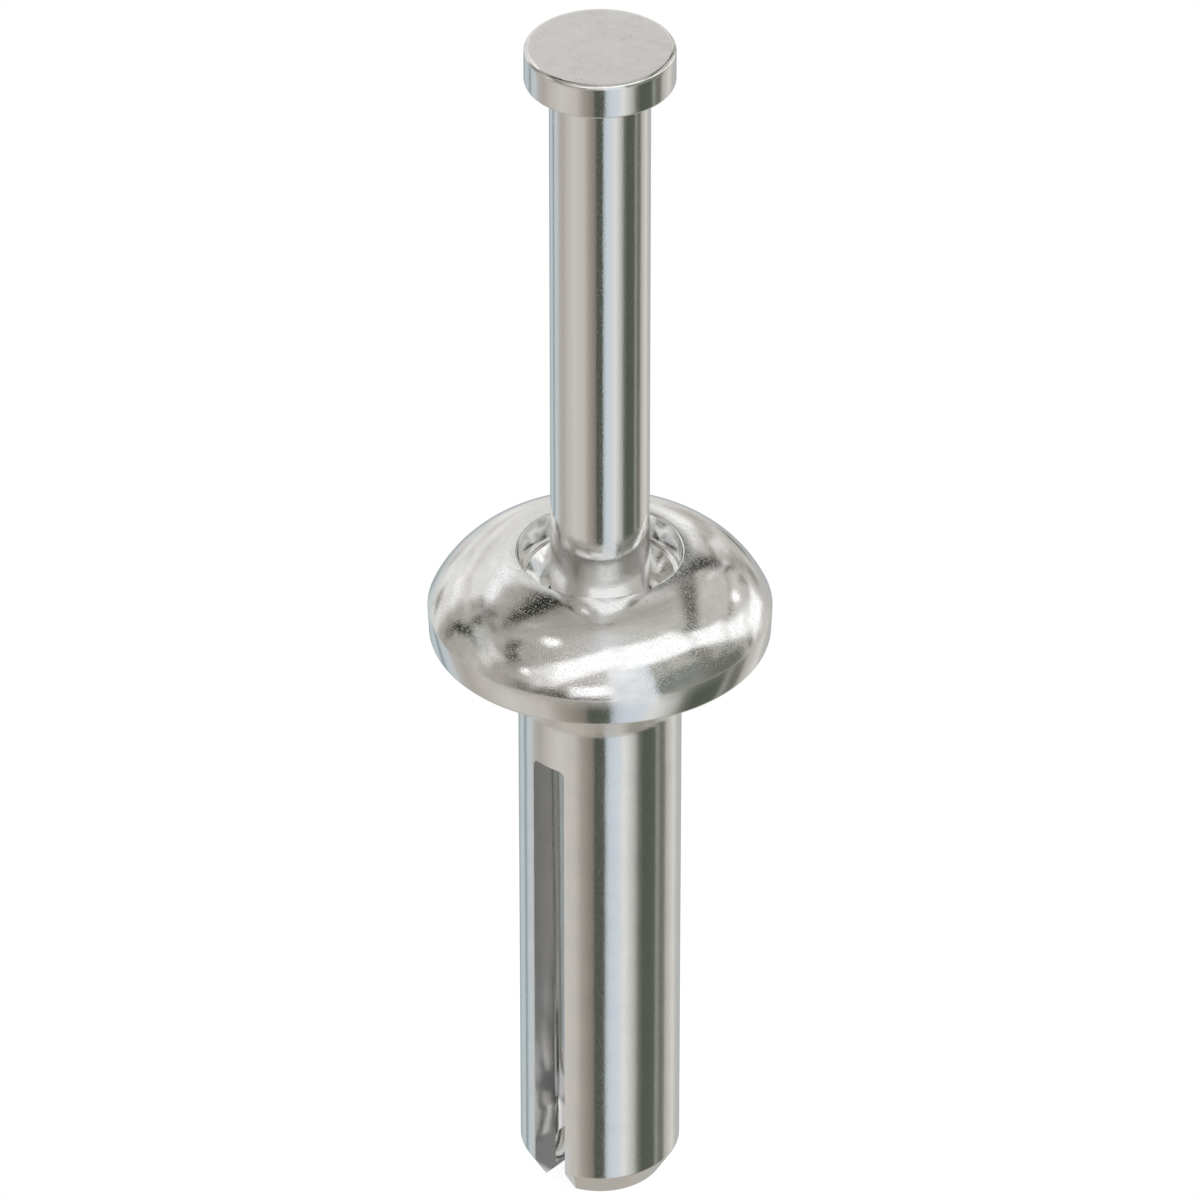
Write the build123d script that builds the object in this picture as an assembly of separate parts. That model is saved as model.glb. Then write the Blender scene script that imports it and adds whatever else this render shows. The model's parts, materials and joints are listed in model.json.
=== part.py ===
from build123d import *
import os
from math import acos, degrees, sin

# Hammer drive anchor: a split zinc body, die cast in one piece, and the headed steel pin that
# a hammer drives into it. Sizes are in millimetres. The anchor's axis is Z, the tip of the
# sleeve stands at z = 0 and the pin's head is at the top. The slot lies in the YZ plane, so
# that the two legs of the sleeve are at +X and -X.

# Drive pin, a cold-headed nail with a flat head and a plain shank
PIN_DIAMETER = 3.82
PIN_LENGTH = 27.2  # under the head
PIN_ENGAGEMENT = 2.4  # how far the pin reaches below the seat before it is driven
PIN_TIP_CHAMFER = 0.45
PIN_HEAD_DIAMETER = 5.7
PIN_HEAD_HEIGHT = 1.41
PIN_HEAD_TOP_RADIUS = 0.18
PIN_NECK_RADIUS = 0.12  # fillet between the head and the shank

# Sleeve, the half of the body that goes into the drilled hole
SLEEVE_DIAMETER = 6.35
SLEEVE_LENGTH = 25.66  # from the tip to the seat under the flange
TIP_CHAMFER_LENGTH = 1.13  # along the axis
TIP_CHAMFER_WIDTH = 0.65  # across it

# Slot that splits the sleeve into two legs, right through and open at the tip
SLOT_WIDTH = 1.54
SLOT_CORNER_RADIUS = 0.28
SOLID_NECK_LENGTH = 4.9  # what stays whole between the slot and the seat

# Neck that flares into the flange
FLARE_LENGTH = 3.05
FLARE_WIDTH = 0.83

# Mushroom flange
FLANGE_DIAMETER = 13.32
RIM_HEIGHT = 1.12
RIM_DRAFT = 0.05  # the rim is this much smaller in radius at its lower edge
RIM_EDGE_RADIUS = 0.1
CROWN_HEIGHT = 3.57  # from the seat to the highest ring
CROWN_OVERRUN = 0.44  # how far past the rim the crown's ellipse would reach

# Stepped recess that takes the pin's head
RECESS_DEPTH = 1.09
RECESS_DRAFT = 0.12
RECESS_CLEARANCE = 0.23  # between the head and the foot of the recess's wall
SEAT_CLEARANCE = 0.03  # between the head and the mouth of the conical seat
SEAT_DEPTH = 0.98

# Bore: a close guide in the neck, then a wider one that narrows to the tip
GUIDE_CLEARANCE = 0.03
GUIDE_LEAD_WIDTH = 0.11
GUIDE_LEAD_LENGTH = 0.3
BORE_STEP_HEIGHT = 0.45  # where the wider bore starts, above the end of the slot
BORE_STEP_LENGTH = 0.2
BORE_TOP_CLEARANCE = 0.26
BORE_TIP_CLEARANCE = 0.07
TIP_SKIN_THICKNESS = 0.2  # what the casting leaves across the bore at the tip

pin_radius = PIN_DIAMETER / 2
head_radius = PIN_HEAD_DIAMETER / 2
sleeve_radius = SLEEVE_DIAMETER / 2
flange_radius = FLANGE_DIAMETER / 2
seat_z = SLEEVE_LENGTH
slot_end_z = seat_z - SOLID_NECK_LENGTH


def outer_profile():
    """The body's outside in the XZ plane, from the tip's face up to the lip of the recess."""
    lip_radius = head_radius + RECESS_CLEARANCE + RECESS_DRAFT
    crown_width = flange_radius - lip_radius + CROWN_OVERRUN
    rim_angle = acos((flange_radius - lip_radius) / crown_width)
    crown_rise = (CROWN_HEIGHT - RIM_HEIGHT) / (1 - sin(rim_angle))
    tip = Polyline(
        (sleeve_radius - TIP_CHAMFER_WIDTH, 0),
        (sleeve_radius, TIP_CHAMFER_LENGTH),
        (sleeve_radius, seat_z - FLARE_LENGTH),
    )
    flare = TangentArc(tip @ 1, (sleeve_radius + FLARE_WIDTH, seat_z), tangent=(0, 1))
    rim = FilletPolyline(
        flare @ 1,
        (flange_radius - RIM_DRAFT, seat_z),
        (flange_radius, seat_z + RIM_HEIGHT),
        radius=RIM_EDGE_RADIUS,
    )
    crown = EllipticalCenterArc(
        (lip_radius, seat_z + CROWN_HEIGHT - crown_rise),
        crown_width,
        crown_rise,
        start_angle=degrees(rim_angle),
        arc_size=90 - degrees(rim_angle),
    )
    return tip + flare + rim + crown


def inner_profile(top, tip_face):
    """The body's inside: recess, seat and bore, down to the thin skin that ends it at the tip."""
    recess_floor_z = seat_z + CROWN_HEIGHT - RECESS_DEPTH
    seat_radius = head_radius + SEAT_CLEARANCE
    guide_radius = pin_radius + GUIDE_CLEARANCE
    guide_top_z = recess_floor_z - SEAT_DEPTH
    step_z = slot_end_z + BORE_STEP_HEIGHT
    return Polyline(
        top,
        (head_radius + RECESS_CLEARANCE, recess_floor_z),
        (seat_radius, recess_floor_z),
        (guide_radius + GUIDE_LEAD_WIDTH, guide_top_z),
        (guide_radius, guide_top_z - GUIDE_LEAD_LENGTH),
        (guide_radius, step_z),
        (pin_radius + BORE_TOP_CLEARANCE, step_z - BORE_STEP_LENGTH),
        (pin_radius + BORE_TIP_CLEARANCE, TIP_SKIN_THICKNESS),
        (0, TIP_SKIN_THICKNESS),
        (0, 0),
        tip_face,
    )


def slot_cutter():
    """A flat blade, wider than the sleeve and round-cornered at its inner end."""
    below_tip = SLOT_WIDTH
    blade = Rectangle(SLOT_WIDTH, slot_end_z + below_tip, align=(Align.CENTER, Align.MAX))
    blade = fillet(blade.vertices().group_by(Axis.Y)[-1], SLOT_CORNER_RADIUS)
    blade = Plane.XZ * Pos(0, slot_end_z) * blade
    return extrude(blade, amount=SLEEVE_DIAMETER, both=True)


def anchor_body():
    """Sleeve, flange and bore as one revolved casting, with the slot cut across it."""
    outside = outer_profile()
    inside = inner_profile(outside @ 1, outside @ 0)
    section = make_face(outside.edges() + inside.edges())
    casting = revolve(Plane.XZ * section, Axis.Z)
    return casting - slot_cutter()


def drive_pin():
    """The pin as it is bought: its tip in the neck, and its head clear of the flange."""
    tip_z = seat_z - PIN_ENGAGEMENT
    head_z = tip_z + PIN_LENGTH
    top_z = head_z + PIN_HEAD_HEIGHT
    tip = Polyline(
        (0, top_z),
        (0, tip_z),
        (pin_radius - PIN_TIP_CHAMFER, tip_z),
        (pin_radius, tip_z + PIN_TIP_CHAMFER),
    )
    shank_and_head = FilletPolyline(
        tip @ 1,
        (pin_radius, head_z),
        (head_radius, head_z),
        (head_radius, top_z),
        (0, top_z),
        radius=(PIN_NECK_RADIUS, 0, PIN_HEAD_TOP_RADIUS),  # the lower edge stays sharp
    )
    section = make_face(tip.edges() + shank_and_head.edges())
    return revolve(Plane.XZ * section, Axis.Z)


os.makedirs("parts", exist_ok=True)
for name, piece in (("anchor_body", anchor_body()), ("drive_pin", drive_pin())):
    piece.label = name
    export_step(piece, f"parts/{name}.step")
    size = piece.bounding_box().size
    print(f"{name}: {size.X:.2f} x {size.Y:.2f} x {size.Z:.2f} mm, {piece.volume:.1f} mm3")
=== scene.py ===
# %% [markdown]
# # Hammer drive anchor
# The anchor is two pieces of metal. The body is die cast in zinc alloy: a sleeve split into
# two legs, a neck, and a mushroom flange with a stepped recess. The drive pin is a steel nail,
# cold headed and left bright. Both are smooth, turned-looking shapes, and nearly all that the
# eye sees on them is the studio, mirrored in the metal. So this scene has two jobs: surfaces
# exact enough to mirror without a ripple, and a studio worth mirroring.

# %% Load the frame
import json
import math

import bmesh
import bpy
import numpy as np
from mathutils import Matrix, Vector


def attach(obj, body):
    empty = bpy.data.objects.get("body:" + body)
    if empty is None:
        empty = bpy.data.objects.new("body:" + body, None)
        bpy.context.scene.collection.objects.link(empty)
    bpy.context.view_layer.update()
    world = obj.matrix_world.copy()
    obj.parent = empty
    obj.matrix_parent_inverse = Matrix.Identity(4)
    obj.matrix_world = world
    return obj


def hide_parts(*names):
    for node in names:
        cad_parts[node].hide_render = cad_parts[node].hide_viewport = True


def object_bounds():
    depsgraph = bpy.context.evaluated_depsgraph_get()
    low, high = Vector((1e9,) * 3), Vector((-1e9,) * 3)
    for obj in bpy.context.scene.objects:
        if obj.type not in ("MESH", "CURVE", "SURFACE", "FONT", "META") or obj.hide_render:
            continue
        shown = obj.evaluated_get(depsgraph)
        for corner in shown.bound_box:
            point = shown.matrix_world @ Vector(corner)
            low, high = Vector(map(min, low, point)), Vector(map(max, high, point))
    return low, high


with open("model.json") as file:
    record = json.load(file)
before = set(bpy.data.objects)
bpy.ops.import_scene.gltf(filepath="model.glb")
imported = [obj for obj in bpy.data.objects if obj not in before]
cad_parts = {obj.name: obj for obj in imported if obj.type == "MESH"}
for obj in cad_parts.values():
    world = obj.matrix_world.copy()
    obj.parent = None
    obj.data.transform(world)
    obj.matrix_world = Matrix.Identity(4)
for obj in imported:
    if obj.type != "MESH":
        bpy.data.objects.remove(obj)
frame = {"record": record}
cad_box = [list(map(float, corner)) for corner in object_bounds()]
mounts = {mount["name"]: mount for mount in frame["record"]["mounts"]}
print("CAD box, metres:", cad_box)

# %% [markdown]
# ## Sizes
# The seat under the flange, the sleeve's radius and the top of the pin come from the frame.
# The rest are the maker's own sizes, in millimetres, and every surface below is worked out
# from them. Heights are above the sleeve's tip.

# %% Driving sizes
mm = 0.001
seat_z = mounts["flange_seat"]["pos_m"][2] / mm
top_z = cad_box[1][2] / mm
sleeve_radius = mounts["sleeve_shank"]["dims"]["r_mm"]

pin_radius, pin_head_radius = 1.91, 2.85
pin_head_height, pin_length, pin_chamfer = 1.41, 27.2, 0.45
tip_chamfer_length, tip_chamfer_width = 1.13, 0.65
slot_half_width, slot_corner, neck_length = 0.77, 0.28, 4.9
flare_length, flare_width = 2.95, 0.83
flare_turn_length, flare_turn_width = 0.35, 0.12
flange_radius = cad_box[1][0] / mm
rim_height, rim_draft = 1.12, 0.05
crown_height, crown_overrun = 3.57, 0.44
recess_floor_radius, recess_draft, recess_depth = 3.08, 0.12, 1.09
cone_radius, cone_depth = 2.88, 0.98
guide_radius, guide_lead_width, guide_lead_length = 1.94, 0.11, 0.3
bore_top_radius, bore_tip_radius = 2.17, 1.98
bore_step_height, bore_step_length = 0.45, 0.2
tip_skin, skin_dish = 0.2, 0.1

slot_top = seat_z - neck_length
print(f"seat {seat_z:.2f} mm, slot ends {slot_top:.2f} mm, pin top {top_z:.2f} mm")

# %% [markdown]
# ## Profiles
# Both pieces are surfaces of revolution, so each starts as a half outline in radius and
# height. A corner on cast or headed metal is never knife sharp: it has a small radius, and
# that radius is what draws the thin bright line along an edge. One function rounds the
# corners of an outline, and everything else is corners and radii.


# %% Rounded outlines
def rounded(corners, radii):
    """An outline through corners, each turned by an arc of its radius.

    The arc touches both sides at radius * tan(turn / 2) from the corner, and its points lie
    at equal angles about a centre on the corner's bisector. One more point on each side, a
    fraction of the radius away, holds the flat beyond it flat when the surface is shaded
    smooth. A radius of 0 keeps the corner.
    """
    steps, hold = 8, 0.3
    corners = np.asarray(corners, float)
    outline = []
    for i, (corner, radius) in enumerate(zip(corners, radii)):
        if radius == 0:
            outline.append(corner[None])
            continue
        back = corners[i - 1] - corner
        ahead = corners[i + 1] - corner
        back, ahead = back / np.linalg.norm(back), ahead / np.linalg.norm(ahead)
        turn = math.pi - math.acos(np.clip(back @ ahead, -1, 1))
        bisector = (back + ahead) / np.linalg.norm(back + ahead)
        centre = corner + bisector * radius / math.cos(turn / 2)
        angles = np.linspace(-turn / 2, turn / 2, steps + 1)[:, None]
        across = ahead - back
        across /= np.linalg.norm(across)
        arc = centre + radius * (np.sin(angles) * across - np.cos(angles) * bisector)
        away = hold * radius
        outline.append(np.vstack([arc[0] + away * back, arc, arc[-1] + away * ahead]))
    return np.vstack(outline)


def crown_arc(steps):
    """The crown: a quarter ellipse that is level at the recess's lip and is cut off at the rim.

    r = lip + width * cos(t), z = centre + rise * sin(t), with t from the rim's angle to 90 degrees.
    """
    lip = recess_floor_radius + recess_draft
    width = flange_radius - lip + crown_overrun
    rim_angle = math.acos((flange_radius - lip) / width)
    rise = (crown_height - rim_height) / (1 - math.sin(rim_angle))
    centre = seat_z + crown_height - rise
    t = np.linspace(rim_angle, math.pi / 2, steps + 1)
    return np.column_stack([lip + width * np.cos(t), centre + rise * np.sin(t)])


# %% [markdown]
# ## From grids to a mesh
# A piece is a few grids of points that share their border points. Each grid gives its quads
# by row and column, the grids are joined, and points that coincide are welded, which closes
# every seam and pole at once.


# %% Grid to mesh
def quads(rows, columns, first, closed):
    """Corner numbers of the quads between the points of a rows by columns grid."""
    across = columns if closed else columns - 1
    i, j = np.meshgrid(np.arange(rows - 1), np.arange(across), indexing="ij")
    k = (j + 1) % columns
    corners = [i * columns + j, i * columns + k, (i + 1) * columns + k, (i + 1) * columns + j]
    return np.stack(corners, axis=-1).reshape(-1, 4) + first


def piece_from_grids(name, grids, weld=2e-4):
    """One closed piece from grids of points in millimetres, each (points, closed round)."""
    points, faces, count = [], [], 0
    for grid, closed in grids:
        rows, columns = grid.shape[:2]
        points.append(grid.reshape(-1, 3))
        faces.append(quads(rows, columns, count, closed))
        count += rows * columns
    mesh = bpy.data.meshes.new(name)
    mesh.from_pydata(np.vstack(points) * mm, [], np.vstack(faces).tolist())
    work = bmesh.new()
    work.from_mesh(mesh)
    bmesh.ops.remove_doubles(work, verts=work.verts, dist=weld * mm)
    bmesh.ops.dissolve_degenerate(work, edges=work.edges, dist=weld * mm)
    bmesh.ops.recalc_face_normals(work, faces=work.faces)
    open_edges = sum(not edge.is_manifold for edge in work.edges)
    work.to_mesh(mesh)
    work.free()
    mesh.shade_smooth()
    piece = bpy.data.objects.new(name, mesh)
    bpy.context.scene.collection.objects.link(piece)
    print(f"{name}: {len(mesh.polygons)} faces, {open_edges} open edges")
    return piece


def turned(outline, angles):
    """A surface of revolution: x = r sin(a), y = r cos(a), z as the outline gives it."""
    r, z = outline[:, :1], outline[:, 1:]
    return np.stack([r * np.sin(angles), r * np.cos(angles), z + 0 * angles], axis=-1)


# %% [markdown]
# ## The drive pin
# A nail is made from drawn wire: one end is upset into a flat head between dies, and the
# other is cut and chamfered. The die leaves a soft edge round the top of the head and a
# small fillet under it. A turned outline with those radii is all of its shape.

# %% Build the drive pin
head_z = top_z - pin_head_height
pin_tip_z = head_z - pin_length
pin_outline = rounded(
    [
        (0, pin_tip_z),
        (pin_radius - pin_chamfer, pin_tip_z),
        (pin_radius, pin_tip_z + pin_chamfer),
        (pin_radius, head_z),
        (pin_head_radius, head_z),
        (pin_head_radius, top_z),
        (0, top_z),
    ],
    [0, 0.08, 0.15, 0.12, 0.1, 0.18, 0],
)
pin_angles = np.linspace(0, 2 * math.pi, 192, endpoint=False)
drive_pin = piece_from_grids("drive_pin_bright", [(turned(pin_outline, pin_angles), True)])
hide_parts("drive_pin")
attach(drive_pin, "drive_pin")

# %% [markdown]
# ## The anchor body
# Above the slot the casting is one turned shape. Below it, the slot leaves two legs. The
# trick is to lay the columns of points so that the slot's edge is always a column: at each
# height the columns of a leg spread from one edge of the slot to the other, at the angle
# asin(half width / radius). At the slot's rounded end the half width shrinks along an arc,
# and the flat that is left becomes a small ceiling between the outer wall and the bore. At the
# tip a thin skin, dished a little, closes the bore of each leg.

# %% Outlines of the body
bore_step_z = slot_top + bore_step_height
bore_slope = (bore_top_radius - bore_tip_radius) / (bore_step_z - bore_step_length)
bore_at_slot_top = bore_tip_radius + bore_slope * slot_top
recess_floor_z = seat_z + crown_height - recess_depth
guide_top_z = recess_floor_z - cone_depth

sleeve_side = rounded(
    [
        (bore_tip_radius + 0.1, 0),
        (sleeve_radius - tip_chamfer_width, 0),
        (sleeve_radius, tip_chamfer_length),
        (sleeve_radius, slot_top),
    ],
    [0, 0.06, 0.2, 0],
)[1:]
bore_foot_z = tip_skin + skin_dish
bore_side = np.array([(bore_tip_radius, bore_foot_z), (bore_at_slot_top, slot_top)])
flare = rounded(
    [
        (sleeve_radius, slot_top),
        (sleeve_radius, seat_z - flare_length),
        (sleeve_radius + flare_width - flare_turn_width, seat_z - flare_turn_length),
        (sleeve_radius + flare_width, seat_z),
        (flange_radius - rim_draft, seat_z),
        (flange_radius, seat_z + rim_height),
    ],
    [0, 1.2, 0.6, 0.1, 0.1, 0],
)
crown = crown_arc(64)
recess = rounded(
    [
        crown[-1] + (0.4, 0),
        crown[-1],
        (recess_floor_radius, recess_floor_z),
        (cone_radius, recess_floor_z),
        (guide_radius + guide_lead_width, guide_top_z),
        (guide_radius, guide_top_z - guide_lead_length),
        (guide_radius, bore_step_z),
        (bore_top_radius, bore_step_z - bore_step_length),
        (bore_at_slot_top, slot_top),
    ],
    [0, 0.05, 0.12, 0.04, 0.04, 0.2, 0.05, 0.05, 0],
)[1:]
crown = crown[crown[:, 0] > recess[0, 0] + 0.02]
upper_outline = np.vstack([flare[:-1], crown, recess])
print(f"upper outline has {len(upper_outline)} points")


# %% Columns that follow the slot
leg_columns, ceiling_columns = 104, 10


def slot_half(z):
    """Half the slot's width at a height: full below the corner arc, then falling along it."""
    into_arc = np.clip(z - (slot_top - slot_corner), 0, slot_corner)
    return slot_half_width - slot_corner + np.sqrt(slot_corner**2 - into_arc**2)


def leg_angles(edge):
    """Angles from +Y across the +X leg, from one edge of the slot to the other, row by row."""
    return edge[:, None] + (math.pi - 2 * edge[:, None]) * np.linspace(0, 1, leg_columns + 1)


def ring_angles(edge):
    """Angles of a whole ring, row by row: ceiling, leg, ceiling, leg."""
    ceiling = edge[:, None] * np.linspace(-1, 1, ceiling_columns + 1)
    leg = leg_angles(edge)
    parts = [ceiling[:, :-1], leg[:, :-1], ceiling[:, :-1] + math.pi, leg[:, :-1] + math.pi]
    return np.hstack(parts)


# %% Build the anchor body
flat_half = slot_half_width - slot_corner
upper_edge = np.linspace(
    math.asin(flat_half / sleeve_radius),
    math.asin(flat_half / bore_at_slot_top),
    len(upper_outline),
)
shell = turned(upper_outline, ring_angles(upper_edge))

corner_levels = slot_top - slot_corner * (1 - np.sin(np.linspace(0, math.pi / 2, 9)))
levels = np.unique(
    np.round(
        np.hstack(
            [sleeve_side[:, 1], tip_skin, bore_foot_z, corner_levels, np.linspace(2, 20, 19)]
        ),
        6,
    )
)
levels = np.append(levels[(levels >= 0) & (levels < slot_top - 1e-3)], slot_top)
outer_radius = np.interp(levels, sleeve_side[:, 1], sleeve_side[:, 0])
bore_radius = np.interp(levels, bore_side[:, 1], bore_side[:, 0])
half = slot_half(levels)

chord = slot_half_width, math.sqrt(bore_tip_radius**2 - slot_half_width**2)


def leg_grid(radius, z, chord_z, chord_last):
    """Rows of arcs over one leg, and a row straight along the slot's wall at height chord_z.

    An arc's ends lie on the wall, at the angle asin(half / radius), so that the quads between
    the smallest arc and the straight row fill a D.
    """
    arcs = turned(np.column_stack([radius, z]), leg_angles(np.arcsin(slot_half(z) / radius)))
    across = np.linspace(1, -1, leg_columns + 1)
    straight_row = np.column_stack(
        [0 * across + chord[0], across * chord[1], 0 * across + chord_z]
    )[None]
    return np.vstack([arcs, straight_row] if chord_last else [straight_row, arcs])


in_bore = levels > bore_foot_z - 1e-3
leg_outside = leg_grid(
    np.append(outer_radius[::-1], bore_tip_radius), np.append(levels[::-1], 0), 0, True
)
leg_inside = leg_grid(bore_radius[in_bore], levels[in_bore], tip_skin, False)


def skin_edge():
    """The skin's own wall in the slot, a strip along the chord as tall as the skin."""
    z, across = np.meshgrid(
        levels[levels <= tip_skin], np.linspace(1, -1, leg_columns + 1), indexing="ij"
    )
    return np.stack([0 * z + chord[0], across * chord[1], z], axis=-1)


def slot_wall(side_x, side_y):
    """A wall of the slot: straight lines from the sleeve's outside to the bore, level by level."""
    columns = []
    for radius in (outer_radius, bore_radius):
        columns.append(
            np.column_stack([side_x * half, side_y * np.sqrt(radius**2 - half**2), levels])
        )
    return np.stack(columns, axis=1)


def slot_ceiling(side_y):
    """The flat end of the slot, between the ring on the sleeve and the ring on the bore."""
    rings = []
    for radius in (sleeve_radius, bore_at_slot_top):
        edge = math.asin(flat_half / radius)
        angle = edge * np.linspace(-1, 1, ceiling_columns + 1)
        x, y = radius * np.sin(angle), side_y * radius * np.cos(angle)
        rings.append(np.column_stack([x, y, 0 * x + slot_top]))
    return np.stack(rings)


mirror = np.array([-1, -1, 1])
body_grids = [(shell, True)]
for grid in (leg_outside, leg_inside, skin_edge()):
    body_grids += [(grid, False), (grid * mirror, False)]
body_grids += [(slot_wall(x, y), False) for x in (-1, 1) for y in (-1, 1)]
body_grids += [(slot_ceiling(y), False) for y in (-1, 1)]
anchor_body = piece_from_grids("anchor_body_cast", body_grids)

edges = anchor_body.modifiers.new("Cast edges", "BEVEL")
edges.width = 0.04 * mm
edges.segments = 3
edges.limit_method = "ANGLE"
edges.angle_limit = math.radians(50)
edges.harden_normals = True

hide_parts("anchor_body")
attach(anchor_body, "anchor_body")

# %% [markdown]
# ## Camera
# A long lens, looking down at a little over a third of a right angle, from forty degrees to the
# right of the slot, so that the slot is seen at a slant.

# %% Camera
camera_turn = math.radians(40.2)
camera_pitch = math.radians(34.533)
camera_distance = 379.0 * mm
look_at = np.array([0, 0, (seat_z + 1.267) * mm])
level = np.array([math.sin(camera_turn), -math.cos(camera_turn), 0])
offset = level * math.cos(camera_pitch) + np.array([0, 0, math.sin(camera_pitch)])
camera = bpy.data.objects.new("camera", bpy.data.cameras.new("camera"))
camera.data.sensor_width = 36
camera.data.lens = 294.66
camera.data.clip_start = 0.01
camera.location = look_at + camera_distance * offset
camera.rotation_euler = (math.pi / 2 - camera_pitch, 0, camera_turn)
bpy.context.scene.collection.objects.link(camera)
bpy.context.scene.camera = camera

# %% [markdown]
# ## Nodes and colours
# Colours are written as sRGB hex, the way a colour picker shows them, and one function turns
# them to the linear values that a shader wants. One more function adds any node, with its
# settings and its links, and gives back one of its outputs, ready to be linked on.


# %% Colour and node helpers
def linear(colour):
    """sRGB hex to linear: c / 12.92 below 0.04045, else ((c + 0.055) / 1.055) ^ 2.4."""
    parts = [int(colour[i : i + 2], 16) / 255 for i in (1, 3, 5)]
    return [c / 12.92 if c <= 0.04045 else ((c + 0.055) / 1.055) ** 2.4 for c in parts] + [1.0]


def add_node(tree, kind, inputs=None, out=0, **settings):
    """Adds a shader node and gives back one of its outputs, by name or number.

    inputs are values or other nodes' outputs to link from, by the input's name or number, and
    settings are the node's own properties. With out=None all of its outputs are given back.
    """
    made = tree.nodes.new("ShaderNode" + kind)
    for name, value in settings.items():
        setattr(made, name, value)
    for name, value in (inputs or {}).items():
        if isinstance(value, bpy.types.NodeSocket):
            tree.links.new(value, made.inputs[name])
        else:
            made.inputs[name].default_value = value
    return made.outputs if out is None else made.outputs[out]


smooth = {"interpolation_type": "SMOOTHSTEP"}

# %% [markdown]
# ## The studio
# Bright metal shows nothing but its surroundings, so the surroundings are built with care. The
# world shader turns the direction of a ray into a bearing and a rise, in degrees: bearing 0 is
# the front, forty degrees to the right of the slot, and rise 0 is level with the part. Two
# rings of colour stand round the part, one below it and one above. Under them the room fades to
# a plain warm grey, and a ceiling closes it. Mesh cards would do as well, but a shader has no
# edges to catch in the reflections and costs no memory.
# The studio is all soft, with no small strong lamp in it, so the renderer needs no map of where
# its light comes from, and leaving that map out saves minutes.

# %% Bearing and rise
world = bpy.data.worlds.new("studio")
world.cycles.sampling_method = "NONE"
bpy.context.scene.world = world
world.use_nodes = True
sky = world.node_tree
sky.nodes.clear()

direction = add_node(sky, "TexCoord", out="Generated")
facing = add_node(
    sky, "VectorRotate", {"Vector": direction, "Angle": -camera_turn}, rotation_type="Z_AXIS"
)
to_right, to_back, up = add_node(sky, "SeparateXYZ", {"Vector": facing}, out=None)
to_front = add_node(sky, "Math", {0: to_back, 1: -1.0}, operation="MULTIPLY")
azimuth = add_node(sky, "Math", {0: to_right, 1: to_front}, operation="ARCTAN2")
elevation = add_node(sky, "Math", {0: up}, operation="ARCSINE")
angles = add_node(sky, "CombineXYZ", {"X": azimuth, "Y": elevation})
straight = add_node(sky, "VectorMath", {0: angles, "Scale": 180 / math.pi}, operation="SCALE")
rise = add_node(sky, "SeparateXYZ", {"Vector": straight}, out="Y")
turn = add_node(
    sky, "Math", {0: azimuth, 1: 1 / (2 * math.pi), 2: 0.5}, operation="MULTIPLY_ADD"
)

# %% [markdown]
# ### Rings of colour
# A ring is a colour ramp over the bearing. The lower ring is what the upright walls of pin and
# sleeve mirror, so its stops are the light and dark stripes that run down the metal.


# %% Rings and ceiling
def ring(stops):
    """A colour ramp round the part, from stops that are each a bearing and a colour."""
    ramp = add_node(sky, "ValToRGB", {"Fac": turn})
    band = ramp.node.color_ramp.elements
    while len(band) < len(stops):
        band.new(1.0)
    for element, (bearing, colour) in zip(band, stops):
        element.position = bearing / 360 + 0.5
        element.color = linear(colour)
    return ramp


def above(low, high, start, end):
    """One colour below a rise of start degrees, and another above a rise of end degrees."""
    share = add_node(sky, "MapRange", {"Value": rise, "From Min": start, "From Max": end}, **smooth)
    return add_node(sky, "MixRGB", {"Fac": share, "Color1": low, "Color2": high})


lower_ring = ring(
    [
        (-180, "#98a1a4"), (-162, "#9ca6a9"), (-151, "#b6bfc2"), (-139, "#b6bfc2"),
        (-132, "#7e898b"), (-126, "#b9c1c5"), (-115, "#bec4c7"), (-108, "#b0aeab"),
        (-95, "#a8a29c"), (-82, "#b7b2ac"), (-60, "#c6c2bd"), (-36, "#bcb7b1"),
        (-26, "#9d9890"), (-10, "#7b776f"), (-7, "#50534a"), (5.5, "#4f544b"),
        (9, "#b0b8bc"), (14, "#c3cbd3"), (27, "#cad1d8"), (35, "#dbdbd8"),
        (50, "#aeaeaa"), (57, "#6c6f66"), (64, "#51564c"), (84, "#555a50"),
        (89, "#90938c"), (97, "#676860"), (104, "#74746c"), (109, "#adaaa4"),
        (129, "#d0ceca"), (142, "#b6b3ae"), (166, "#a7adae"), (180, "#98a1a4"),
    ]
)
upper_ring = ring(
    [
        (-180, "#d9d8d5"), (-128, "#dedddb"), (-121, "#a39f99"), (-96, "#a8a6a0"),
        (-84, "#b8b5b0"), (-70, "#a39e98"), (-45, "#a39f98"), (-10, "#aca8a3"),
        (4, "#b8b6b2"), (7, "#dcdddf"), (36, "#d6dbe0"), (39, "#979791"),
        (66, "#82857d"), (90, "#85857d"), (100, "#b9b6b1"), (140, "#c2beb9"),
        (150, "#b8b4af"), (165, "#c6c3bf"), (180, "#d9d8d5"),
    ]
)
ceiling = ring(
    [
        (-180, "#b7b4af"), (-150, "#a09c96"), (-60, "#a7a39d"), (-30, "#b4b1ac"),
        (10, "#c9c9cc"), (40, "#c4c4c2"), (80, "#bcbbb4"), (120, "#b5b2ac"),
        (150, "#a5a19c"), (180, "#b7b4af"),
    ]
)
pit = linear("#aca79f")
skirting = add_node(sky, "MixRGB", {"Fac": 0.4, "Color1": pit, "Color2": lower_ring})
room = above(pit, skirting, -74, -60)
room = above(room, lower_ring, -52, -38)
room = above(room, upper_ring, -28, -4)
room = above(room, ceiling, 44, 60)

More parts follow.
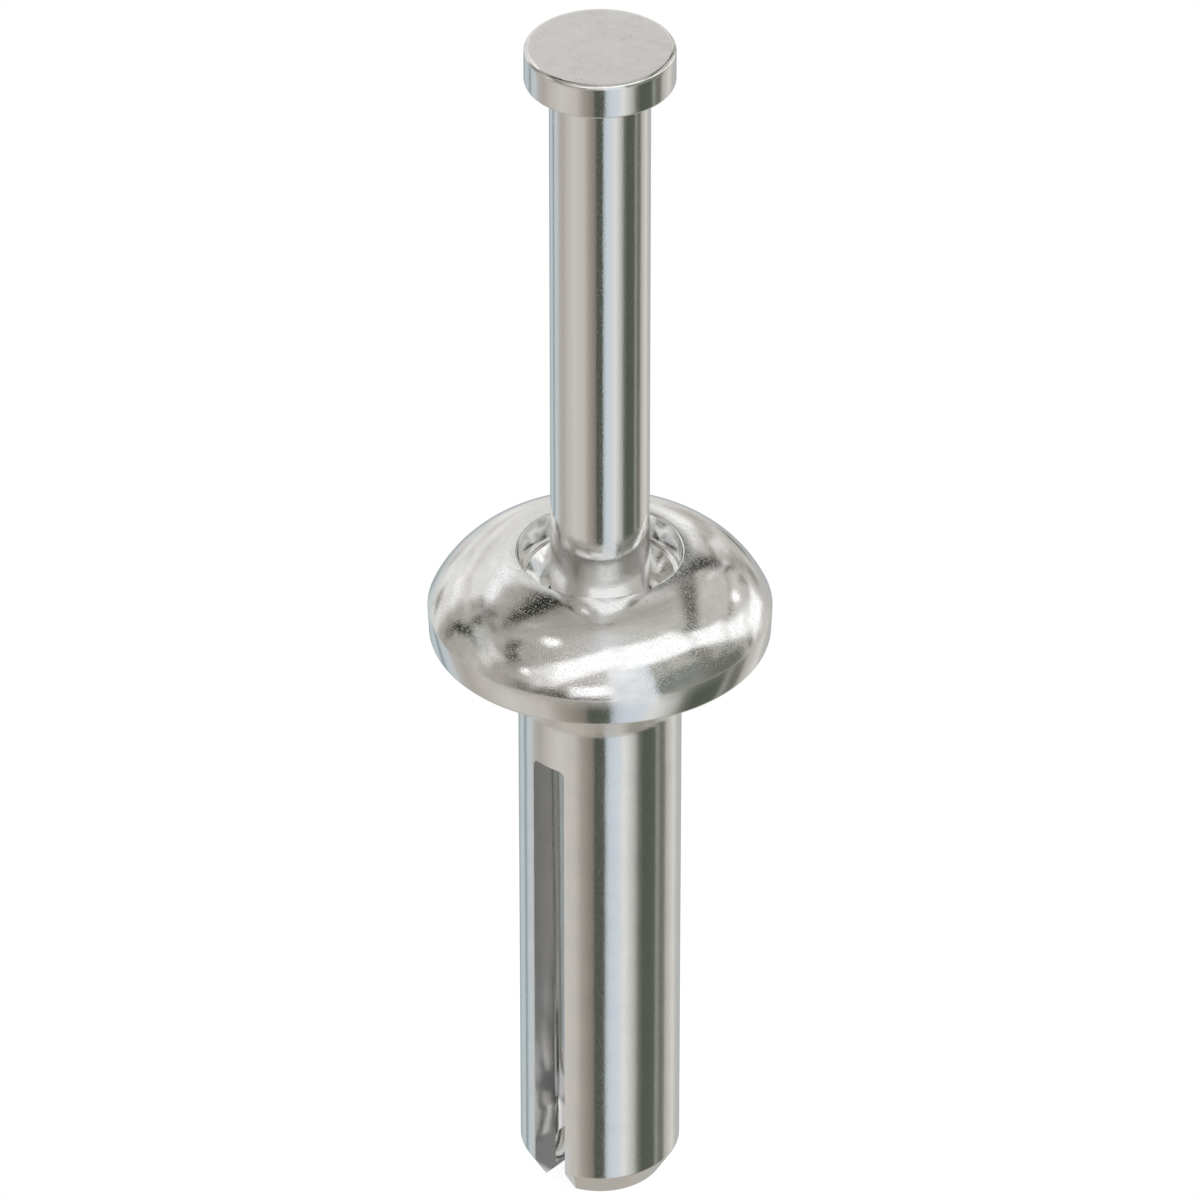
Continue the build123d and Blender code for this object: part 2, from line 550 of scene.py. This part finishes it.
# %% [markdown]
# ### Things that hang in the room
# On the rings hang the soft boxes, a window, curtains, rails and lamps. Each is a rectangle or
# an ellipse in bearing and rise, with a lean, a soft edge and, for a rail that bows, a sag. A
# noise pushes the bearing and rise about by a few degrees for the cloth ones, so that their
# edges are as ragged as real folds.

# %% Ragged directions
folds = add_node(
    sky, "TexNoise", {"Vector": facing, "Scale": 7.0, "Detail": 4.0, "Roughness": 0.65},
    out="Color",
)
pushed = add_node(sky, "VectorMath", {0: folds, 1: (-0.5, -0.5, -0.5)}, operation="ADD")
pushed = add_node(sky, "VectorMath", {0: pushed, 1: (14.0, 9.0, 0.0)}, operation="MULTIPLY")
ragged = add_node(sky, "VectorMath", {0: straight, 1: pushed}, operation="ADD")


# %% Hanging a panel
def hang(
    under, where, place, size, colour, lean=0.0, soft=0.25, sag=0.0, oval=False, glow=1.0
):
    """Hangs a panel over the colours under it: place and half size in degrees.

    The panel's own coordinates are (direction - place) turned by the lean and divided by the
    half size. Its edge is where the larger of |x| and |y + sag * x^2| is 1, or where their
    length is 1 if it is oval, and the colour fades there over the width soft to each side.
    """
    local = add_node(
        sky, "Mapping",
        {"Vector": where, "Location": (*place, 0), "Rotation": (0, 0, math.radians(lean)),
         "Scale": (*size, 1)},
        vector_type="TEXTURE",
    )
    if sag:
        x, y, _ = add_node(sky, "SeparateXYZ", {"Vector": local}, out=None)
        bow = add_node(sky, "Math", {0: x, 1: x}, operation="MULTIPLY")
        height = add_node(sky, "Math", {0: bow, 1: sag, 2: y}, operation="MULTIPLY_ADD")
        local = add_node(sky, "CombineXYZ", {"X": x, "Y": height})
    if oval:
        furthest = add_node(sky, "VectorMath", {0: local}, out="Value", operation="LENGTH")
    else:
        size_only = add_node(sky, "VectorMath", {0: local}, operation="ABSOLUTE")
        x, y, _ = add_node(sky, "SeparateXYZ", {"Vector": size_only}, out=None)
        furthest = add_node(sky, "Math", {0: x, 1: y}, operation="MAXIMUM")
    edge = {"Value": furthest, "From Min": 1 + soft, "From Max": 1 - soft}
    inside = add_node(sky, "MapRange", edge, **smooth)
    paint = [glow * c for c in linear(colour)[:3]] + [1]
    return add_node(sky, "MixRGB", {"Fac": inside, "Color1": under, "Color2": paint})


# %% Curtains and furniture, by place, half size, colour, lean, softness and sag
cloth = [
    # behind the part and on its left: a pale wall with a bright cornice
    ((-150, 50), (30, 5), "#a5a19b", 0, 0.5, 0.9),
    ((-150, 22), (28, 2.5), "#cbc9c4", 0, 0.6, 0),
    ((-160, 8), (9, 3), "#cdcbc7", 0, 0.7, 0),
    ((-134, 12), (8, 3), "#efeeec", 0, 0.7, 0),
    ((-138, -7), (4, 4), "#928d86", 0, 0.7, 0),
    ((-157, -8), (3, 4), "#bdbab6", 0, 0.7, 0),
    # left: dark folds, with paler cloth between them
    ((-116, 38.5), (8.5, 4.4), "#4a473f", 0, 0.6, 0),
    ((-99, 37.5), (6, 2.6), "#85817a", 0, 0.6, 0),
    ((-93, 24), (7, 6), "#b9bcb8", 0, 0.6, 0),
    ((-106, 28), (4, 4.2), "#5c5a53", 0, 0.6, 0),
    ((-98, 18.6), (6.5, 1.8), "#747771", 0, 0.6, 0),
    ((-108.5, 12), (10.5, 3.2), "#3d3d37", 57, 0.6, 0),
    ((-115, 2), (3, 5), "#77746e", 0, 0.6, 0),
    ((-90, 42), (21, 3.5), "#c1bebb", -68, 0.6, 0),
    ((-71, 36.5), (11, 4.8), "#54524b", -48, 0.6, 0),
    ((-77, 25.5), (7, 3), "#dcdbd8", -15, 0.6, 0),
    ((-81, 17), (6, 4), "#d2d1cd", 0, 0.6, 0),
    ((-52, 32), (5, 1.6), "#8d8982", -5, 0.6, 0),
    # front left: a pale drape that falls from the soft box, and dark furniture under it
    ((-22, 31), (22, 4), "#b3afab", 18, 0.5, 0),
    ((-32, 16), (24, 4.5), "#77746d", 8, 0.5, 0),
    ((-43, 12.5), (8, 3), "#6a6861", 10, 0.6, 0),
    ((-21, 14.5), (8, 3.2), "#504f49", 0, 0.6, 0),
    ((-1, 14), (5, 1.8), "#6f6d67", 0, 0.6, 0),
    # front right: dark shelves with pale fronts
    ((44, 27), (6, 13), "#9c9d96", 0, 0.5, 0),
    ((44, 19), (5, 7), "#767973", 0, 0.5, 0),
    ((60, 32), (9, 5), "#b4b1ab", -12, 0.5, 0),
    ((60, 18), (15, 5.5), "#7b807a", -8, 0.4, 0),
    ((76, 29), (4.5, 7), "#7d7b74", 10, 0.6, 0),
    ((74, 15), (6, 6), "#787872", 0, 0.6, 0),
    ((88, 6), (14, 6), "#6c6d66", -22, 0.5, 0),
    ((88, 21), (6, 5), "#a9a6a0", 0, 0.6, 0),
    ((96, 13.5), (4, 3.5), "#8c8a84", 0, 0.6, 0),
    # right: a plain wall with a ledge
    ((117, 24), (6, 2.6), "#98948d", 0, 0.6, 0),
    ((132, 25.3), (9, 1.3), "#a39f99", 0, 0.6, 0),
    ((147, 34), (2.4, 3.5), "#dcdad7", 0, 0.7, 0),
    ((145.5, 18), (1.8, 6), "#716d67", 0, 0.6, 0),
    ((148.5, 23), (1.3, 7), "#e2e1de", 0, 0.6, 0),
    ((154, 27), (4, 4.5), "#77746d", 0, 0.7, 0),
    ((158, 13), (3, 8), "#d9d7d4", 0, 0.6, 0),
    ((139, 9), (2, 4), "#8e8a83", -20, 0.6, 0),
    ((150, 5), (3, 9), "#9d9993", 10, 0.7, 0),
    ((162, 18), (1.5, 10), "#a5a29c", 4, 0.7, 0),
    ((168, 5), (3, 12), "#b0aca6", 0, 0.7, 0),
    ((172, 22), (4, 9), "#efeeec", 0, 0.7, 0),
    ((163, -13), (3, 3), "#6b6963", -40, 0.7, 0),
    ((147, -5), (3, 3), "#8a8680", -40, 0.7, 0),
    ((110, 0), (3, 3), "#77756e", 0, 0.7, 0),
]
view = room
for place, size, colour, lean, soft, sag in cloth:
    view = hang(view, ragged, place, size, colour, lean, soft, sag)
print(f"{len(cloth)} pieces of cloth hang in the studio")

# %% Rails, by place, half size, colour, lean, softness and sag
rails = [
    ((-138, 61.5), (52, 8), "#918d86", 0, 0.6, 2.6),
    ((-150, 40.8), (29, 2.9), "#f0f0f1", 3, 0.5, 1.0),
    ((-136, 60.6), (38, 4.2), "#363630", 0, 0.5, 2.6),
    ((-167, 51.6), (13, 3.6), "#2a2a25", 30, 0.6, 0.6),
    ((131, 51.4), (48, 3.6), "#605e57", -5, 0.8, 3.6),
    ((171, 36.9), (22, 3.9), "#22221e", 0, 0.45, 2.6),
]
for place, size, colour, lean, soft, sag in rails:
    view = hang(view, straight, place, size, colour, lean, soft, sag)

# %% Lights, by place, half size, lean, softness and sag
boxes = [
    ((-9, 49.3), (28, 9.6), 25, 0.36, 0.4),
    ((52, 52.3), (31, 12), -8, 0.24, 0.15),
    ((91.5, 32.5), (11.5, 7.5), -42, 0.36, 0),
    ((107, 15), (8, 5.5), -40, 0.5, 0),
    ((126, 0.5), (11, 5.5), -10, 0.4, 0),
    ((-6.5, 22.6), (12.5, 4.5), 10, 0.42, 0),
]
lamps = [((-58, 62), (9, 4.5)), ((-52, 27), (3.6, 2.4)), ((127, 20), (3.6, 3.4))]
view = hang(view, straight, (106, 18), (30, 6.5), "#dededb", -42, 0.5)
view = hang(view, straight, (-35, 33), (15, 8), "#dfdedc", 38, 0.6)
view = hang(view, straight, (17, 50), (11, 17), "#e7e9ec", 0, 0.4)
for place, size, lean, soft, sag in boxes:
    view = hang(view, straight, place, size, "#ffffff", lean, soft, sag, glow=1.08)
for place, size in lamps:
    view = hang(view, straight, place, size, "#ffffff", soft=0.7, oval=True, glow=1.2)
print(f"{len(rails)} rails, {len(boxes)} soft boxes and {len(lamps)} lamps")

# %% [markdown]
# ### Levels
# The colours above are those that the metal shows, and the metal gives back a little under nine
# tenths of what it sees, so the room is lit by one over that. A real room is never even: a
# noise lifts and lowers it by about an eighth. It fades out low down, where the upright walls
# look, so that their stripes stay clean. The camera itself sees a plain white backdrop, through
# Is Camera Ray.

# %% World output
room_light = 1.13
smudges = add_node(
    sky, "TexNoise", {"Vector": facing, "Scale": 8.0, "Detail": 4.0, "Roughness": 0.6}
)
uneven = add_node(
    sky, "MapRange",
    {"Value": smudges, "From Min": 0.3, "From Max": 0.7,
     "To Min": 0.86 * room_light, "To Max": 1.12 * room_light},
)
raised = add_node(sky, "MapRange", {"Value": rise, "From Min": -26, "From Max": -12})
strength = add_node(sky, "Mix", {0: raised, 2: room_light, 3: uneven}, data_type="FLOAT")
shine = add_node(sky, "Background", {"Color": view, "Strength": strength})
backdrop = add_node(sky, "Background", {"Color": [1, 1, 1, 1], "Strength": 1.0})
for_camera = add_node(sky, "LightPath", out="Is Camera Ray")
seen = add_node(sky, "MixShader", {0: for_camera, 1: shine, 2: backdrop})
add_node(sky, "OutputWorld", {"Surface": seen}, out=None)

# %% [markdown]
# ## Metals
# Both metals are bare and bright, so their colour is a reflectance, near 0.88, and the rest is
# in how smooth they are. A mirror finish from a die or a tumbler is never quite even: it has a
# fine grain, slow swells that bend reflections, hairline scratches and small pits. Each is a
# noise at its real size, which drives roughness and a bump of about a hundredth of a millimetre
# or less. A noise node's scale is one over the size of its patches in millimetres.


# %% Coordinates on a turned skin
def skin(tree, radius):
    """Five values for where a point of a turned piece is, in millimetres.

    Its x, y and z, then (angle round the axis * radius, height) as a flat map of the skin, then
    its distance from the axis, its distance from the slot's middle plane, and its height.
    """
    place = add_node(tree, "TexCoord", out="Object")
    solid = add_node(tree, "VectorMath", {0: place, "Scale": 1 / mm}, operation="SCALE")
    x, y, height = add_node(tree, "SeparateXYZ", {"Vector": solid}, out=None)
    angle = add_node(tree, "Math", {0: x, 1: y}, operation="ARCTAN2")
    around = add_node(tree, "Math", {0: angle, 1: radius}, operation="MULTIPLY")
    flat = add_node(tree, "CombineXYZ", {"X": around, "Y": height})
    level = add_node(tree, "VectorMath", {0: solid, 1: (1, 1, 0)}, operation="MULTIPLY")
    from_axis = add_node(tree, "VectorMath", {0: level}, out="Value", operation="LENGTH")
    from_plane = add_node(tree, "Math", {0: x}, operation="ABSOLUTE")
    return solid, flat, from_axis, from_plane, height


def hairlines(tree, where, width, lean, rare):
    """Scratches of a width in mm that run at lean degrees.

    They are the peaks of a noise that is stretched forty times along the lean: rare, from 0 to
    1, is the height above which a peak is a scratch.
    """
    along = add_node(
        tree, "Mapping",
        {"Vector": where, "Rotation": (0, 0, math.radians(lean)), "Scale": (0.025, 1, 1)},
        vector_type="POINT",
    )
    lines = add_node(tree, "TexNoise", {"Vector": along, "Scale": 1 / width, "Detail": 1.0})
    peaks = {"Value": lines, "From Min": rare, "From Max": rare + 0.06}
    return add_node(tree, "MapRange", peaks, **smooth)


def bare_metal(name):
    """A new material that is fully metallic and keeps the default IOR."""
    made = bpy.data.materials.new(name)
    made.use_nodes = True
    shader = made.node_tree.nodes["Principled BSDF"]
    shader.inputs["Metallic"].default_value = 1.0
    return made, made.node_tree, shader


# %% [markdown]
# ### Polished zinc
# The body is a zinc die casting, tumbled bright. The die gives it slow swells a couple of
# millimetres long, the tumbling a grain of a few hundredths of a millimetre and light scratches
# in every direction, and there are pits where gas reached the skin. The stones of the tumbler
# don't get far into the slot, so its walls stay satin towards its top, as they were cast. The
# recess comes from a polished core, a little smoother. Its colour is painted a little lighter, as
# painted light that brightens the recess. Its lip is rubbed a little duller, which softens the
# mirrored pin.

# %% Zinc: where it is bright and where it is satin
zinc, tree, shader = bare_metal("polished_die_cast_zinc")
solid, _, from_axis, from_plane, height = skin(tree, sleeve_radius)
lip_radius = recess_floor_radius + recess_draft
rim_z = seat_z + rim_height
on_crown = add_node(
    tree, "MapRange", {"Value": height, "From Min": rim_z + 0.15, "From Max": rim_z + 0.5}
)
in_recess = add_node(
    tree, "MapRange",
    {"Value": from_axis, "From Min": lip_radius - 0.02, "From Max": lip_radius - 0.05},
)
over_seat = add_node(tree, "Math", {0: height, 1: seat_z}, operation="GREATER_THAN")
in_recess = add_node(tree, "Math", {0: in_recess, 1: over_seat}, operation="MULTIPLY")
near_lip = add_node(
    tree, "MapRange",
    {"Value": from_axis, "From Min": lip_radius + 0.8, "From Max": lip_radius + 0.2}, **smooth
)
past_lip = add_node(
    tree, "Math", {0: from_axis, 1: lip_radius + 0.08}, operation="GREATER_THAN"
)
near_lip = add_node(tree, "Math", {0: near_lip, 1: past_lip}, operation="MULTIPLY")
on_wall = add_node(
    tree, "Math", {0: from_plane, 1: slot_half_width + 0.004}, operation="LESS_THAN"
)
under_top = add_node(tree, "Math", {0: height, 1: slot_top + 0.01}, operation="LESS_THAN")
unreached = add_node(tree, "Math", {0: on_wall, 1: under_top}, operation="MULTIPLY")

# %% Zinc: grain, swells, pits and scratches
grain = add_node(tree, "TexNoise", {"Vector": solid, "Scale": 1 / 0.06, "Detail": 1.0})
specks = add_node(tree, "TexNoise", {"Vector": solid, "Scale": 1 / 0.055, "Detail": 0.0})
specks = add_node(
    tree, "MapRange", {"Value": specks, "From Min": 0.64, "From Max": 0.74}, **smooth
)
swell = add_node(tree, "TexNoise", {"Vector": solid, "Scale": 1 / 2.2, "Detail": 1.0})
clouds = add_node(
    tree, "TexNoise", {"Vector": solid, "Scale": 1 / 1.1, "Detail": 3.0, "Roughness": 0.6}
)
pits = add_node(tree, "TexVoronoi", {"Vector": solid, "Scale": 3.2, "Randomness": 1.0})
pits = add_node(tree, "MapRange", {"Value": pits, "From Min": 0.1, "From Max": 0.04}, **smooth)
crossing = add_node(
    tree, "Math",
    {0: hairlines(tree, solid, 0.05, 20, 0.67), 1: hairlines(tree, solid, 0.05, 112, 0.68)},
    operation="MAXIMUM",
)
marks = add_node(tree, "Math", {0: pits, 1: crossing}, operation="MAXIMUM")
marks = add_node(tree, "Math", {0: marks, 1: on_crown}, operation="MULTIPLY")

# %% Zinc: roughness, relief and tone
tumbled = add_node(
    tree, "MapRange",
    {"Value": clouds, "From Min": 0.35, "From Max": 0.7, "To Min": 0.055, "To Max": 0.11},
)
rough = add_node(tree, "Math", {0: marks, 1: 0.10, 2: tumbled}, operation="MULTIPLY_ADD")
rough = add_node(tree, "Math", {0: in_recess, 1: -0.03, 2: rough}, operation="MULTIPLY_ADD")
rough = add_node(tree, "Math", {0: near_lip, 1: 0.09, 2: rough}, operation="MULTIPLY_ADD")
satin = add_node(
    tree, "MapRange",
    {"Value": height, "From Min": 5, "From Max": 12, "To Min": 0.03, "To Max": 0.15},
)
rough = add_node(tree, "Math", {0: unreached, 1: satin, 2: rough}, operation="MULTIPLY_ADD")
tree.links.new(rough, shader.inputs["Roughness"])

speckle = add_node(tree, "Math", {0: on_crown, 1: 0.9, 2: 0.5}, operation="MULTIPLY_ADD")
relief = add_node(tree, "Math", {0: specks, 1: speckle, 2: grain}, operation="MULTIPLY_ADD")
sunk = add_node(tree, "Math", {0: marks, 1: -1.0}, operation="MULTIPLY")
normal = add_node(tree, "Bump", {"Height": swell, "Distance": 0.012 * mm})
normal = add_node(tree, "Bump", {"Height": relief, "Distance": 0.0014 * mm, "Normal": normal})
normal = add_node(tree, "Bump", {"Height": sunk, "Distance": 0.0008 * mm, "Normal": normal})
tree.links.new(normal, shader.inputs["Normal"])

tone = add_node(tree, "MapRange", {"Value": clouds, "From Min": 0.35, "From Max": 0.7})
tone = add_node(
    tree, "MixRGB", {"Fac": tone, "Color1": linear("#f3f3f2"), "Color2": linear("#eeeeee")}
)
# The recess takes the lighter end of the tone: painted light that brightens the recess
tone = add_node(
    tree, "MixRGB", {"Fac": in_recess, "Color1": tone, "Color2": linear("#f3f3f2")}
)
tree.links.new(tone, shader.inputs["Base Color"])
anchor_body.data.materials.append(zinc)
print(f"{zinc.name}: {len(tree.nodes)} nodes")

# %% [markdown]
# ### Bright drawn steel
# The pin is drawn wire, so its fine lines run along it. Its head was struck flat by the header
# and keeps the matt, mottled face of the punch, with scuffs from being tumbled among others.
# The foot of the shank was pressed into the neck, which left faint rings and took its shine. Its
# colour there is painted white, as painted light that brightens it down in the recess.

# %% Steel: the shank
steel, tree, shader = bare_metal("bright_drawn_steel")
solid, flat, _, _, height = skin(tree, pin_radius)
drawn = add_node(tree, "Mapping", {"Vector": flat, "Scale": (1.0, 0.03, 1.0)})
lines = add_node(
    tree, "TexNoise", {"Vector": drawn, "Scale": 1 / 0.07, "Detail": 2.0, "Roughness": 0.7}
)
grain = add_node(tree, "TexNoise", {"Vector": solid, "Scale": 1 / 0.06, "Detail": 1.0})
specks = add_node(tree, "TexNoise", {"Vector": solid, "Scale": 1 / 0.055, "Detail": 0.0})
specks = add_node(
    tree, "MapRange", {"Value": specks, "From Min": 0.64, "From Max": 0.74}, **smooth
)
clouds = add_node(
    tree, "TexNoise", {"Vector": solid, "Scale": 1 / 1.3, "Detail": 3.0, "Roughness": 0.6}
)
shank_rough = add_node(
    tree, "MapRange",
    {"Value": clouds, "From Min": 0.35, "From Max": 0.7, "To Min": 0.055, "To Max": 0.09},
)
foot_z = recess_floor_z + 0.6
foot = add_node(
    tree, "MapRange", {"Value": height, "From Min": foot_z + 0.9, "From Max": foot_z}, **smooth
)
shank_rough = add_node(
    tree, "Math", {0: foot, 1: 0.11, 2: shank_rough}, operation="MULTIPLY_ADD"
)
ringed = add_node(tree, "Mapping", {"Vector": flat, "Scale": (0.03, 1.0, 1.0)})
rings = add_node(
    tree, "TexNoise", {"Vector": ringed, "Scale": 1 / 0.12, "Detail": 2.0, "Roughness": 0.7}
)
rings = add_node(tree, "Math", {0: rings, 1: foot}, operation="MULTIPLY")

# %% Steel: the head's face
face = add_node(
    tree, "MapRange", {"Value": height, "From Min": top_z - 0.003, "From Max": top_z - 0.0005}
)
mottle = add_node(
    tree, "TexNoise", {"Vector": solid, "Scale": 1 / 0.8, "Detail": 6.0, "Roughness": 0.78}
)
fine_mottle = add_node(
    tree, "TexNoise", {"Vector": solid, "Scale": 1 / 0.07, "Detail": 3.0, "Roughness": 0.7}
)
scuffs = add_node(
    tree, "Math",
    {0: hairlines(tree, solid, 0.035, 8, 0.60), 1: hairlines(tree, solid, 0.035, 62, 0.62)},
    operation="MAXIMUM",
)
face_rough = add_node(
    tree, "MapRange",
    {"Value": mottle, "From Min": 0.35, "From Max": 0.7, "To Min": 0.26, "To Max": 0.40},
)
punched = add_node(tree, "Math", {0: scuffs, 1: -0.15, 2: fine_mottle}, operation="MULTIPLY_ADD")
punched = add_node(tree, "Math", {0: punched, 1: 2.2}, operation="MULTIPLY")

# %% Steel: roughness, relief and tone
rough = add_node(tree, "Mix", {0: face, 2: shank_rough, 3: face_rough}, data_type="FLOAT")
tree.links.new(rough, shader.inputs["Roughness"])
shank = add_node(tree, "Math", {0: lines, 1: grain}, operation="ADD")
shank = add_node(tree, "Math", {0: specks, 1: 0.7, 2: shank}, operation="MULTIPLY_ADD")
shank = add_node(tree, "Math", {0: rings, 1: 4.0, 2: shank}, operation="MULTIPLY_ADD")
relief = add_node(tree, "Mix", {0: face, 2: shank, 3: punched}, data_type="FLOAT")
normal = add_node(tree, "Bump", {"Height": relief, "Distance": 0.0012 * mm})
tree.links.new(normal, shader.inputs["Normal"])

stain = add_node(
    tree, "TexNoise", {"Vector": solid, "Scale": 1 / 0.5, "Detail": 9.0, "Roughness": 0.85}
)
stain = add_node(
    tree, "MapRange",
    {"Value": stain, "From Min": 0.46, "From Max": 0.68, "To Min": 0.0, "To Max": 0.4},
)
stain = add_node(tree, "Math", {0: stain, 1: face}, operation="MULTIPLY")
# At the foot of the shank the colour is lifted to white: painted light that brightens it in the
# recess
tone = add_node(
    tree, "MixRGB", {"Fac": foot, "Color1": linear("#f1f1f0"), "Color2": linear("#ffffff")}
)
# The head's face is a shade lighter than the shank: painted light on the top of the head
tone = add_node(tree, "MixRGB", {"Fac": face, "Color1": tone, "Color2": linear("#fdfcfc")})
tone = add_node(tree, "MixRGB", {"Fac": stain, "Color1": tone, "Color2": linear("#cec6c1")})
tree.links.new(tone, shader.inputs["Base Color"])
drive_pin.data.materials.append(steel)
print(f"{steel.name}: {len(tree.nodes)} nodes")

# %% [markdown]
# ## Floor
# The floor is white paper, just large enough to catch the soft shadow at the anchor's foot.
# It glows a little for the camera, so that away from the shadow it is as white as the backdrop.
# The metal sees only the strip of it that lies in line with the slot, and that strip is painted
# light: for glossy rays it is near black and glows at painted levels, dark under the tip and
# lighter in front of it and behind it. This painted light and shade shades the slot's foot.

# %% Floor
floor_reach, paper_glow = 16 * mm, 0.84
strip_width, strip_length = 0.775 * mm, 6.4 * mm
floor_mesh = bpy.data.meshes.new("floor")
floor_mesh.from_pydata(
    [(x * floor_reach, y * floor_reach, 0) for x, y in ((-1, -1), (1, -1), (1, 1), (-1, 1))],
    [], [(0, 1, 2, 3)],
)
floor = bpy.data.objects.new("floor", floor_mesh)
bpy.context.scene.collection.objects.link(floor)

paper = bpy.data.materials.new("white_paper")
paper.use_nodes = True
tree = paper.node_tree
sheet = tree.nodes["Principled BSDF"]
sheet.inputs["Roughness"].default_value = 0.9
sheet.inputs["Specular IOR Level"].default_value = 0.0
sheet.inputs["Emission Color"].default_value = [1, 1, 1, 1]
for_camera = add_node(tree, "LightPath", out="Is Camera Ray")
for_metal = add_node(tree, "LightPath", out="Is Glossy Ray")
place = add_node(tree, "TexCoord", out="Object")
to_back = add_node(tree, "SeparateXYZ", {"Vector": place}, out="Y")
to_back = add_node(
    tree, "MapRange", {"Value": to_back, "From Min": -strip_length, "From Max": strip_length}
)
# Painted light: a glow along the slot's line that only the metal sees
painted_strip_light = add_node(tree, "ValToRGB", {"Fac": to_back})
band = painted_strip_light.node.color_ramp.elements
# along the slot's line: millimetres from the axis, and the level of painted glow
stops = [(-2.3, 0.6), (-2.0, 0.2), (0.3, 0.2), (0.6, 0.12), (1.4, 0.14), (2.0, 0.5), (5.8, 0.5)]
while len(band) < len(stops):
    band.new(1.0)
for element, (distance, level) in zip(band, stops):
    element.position = distance * mm / strip_length / 2 + 0.5
    element.color = (level, level, level, 1)
glow = add_node(tree, "Math", {0: for_camera, 1: paper_glow}, operation="MULTIPLY")
glow = add_node(tree, "Math", {0: for_metal, 1: painted_strip_light, 2: glow}, operation="MULTIPLY_ADD")
tree.links.new(glow, sheet.inputs["Emission Strength"])
# For the metal the strip is near black, so its painted glow alone sets how light it looks
white = add_node(
    tree, "MixRGB", {"Fac": for_metal, "Color1": linear("#b0b0b0"), "Color2": linear("#202020")}
)
tree.links.new(white, sheet.inputs["Base Color"])
aside = add_node(
    tree, "VectorMath", {0: place, 1: (1 / strip_width, 1 / strip_length, 0)},
    operation="MULTIPLY",
)
aside = add_node(tree, "VectorMath", {0: aside}, operation="ABSOLUTE")
x, y, _ = add_node(tree, "SeparateXYZ", {"Vector": aside}, out=None)
aside = add_node(tree, "Math", {0: x, 1: y}, operation="MAXIMUM")
aside = add_node(tree, "Math", {0: aside, 1: 1.0}, operation="GREATER_THAN")
unseen = add_node(tree, "Math", {0: aside, 1: for_metal}, operation="MULTIPLY")
clear = add_node(tree, "BsdfTransparent")
mixed = add_node(tree, "MixShader", {0: unseen, 1: sheet.outputs["BSDF"], 2: clear})
tree.links.new(mixed, tree.nodes["Material Output"].inputs["Surface"])
floor_mesh.materials.append(paper)

bpy.context.scene.view_settings.view_transform = "Standard"
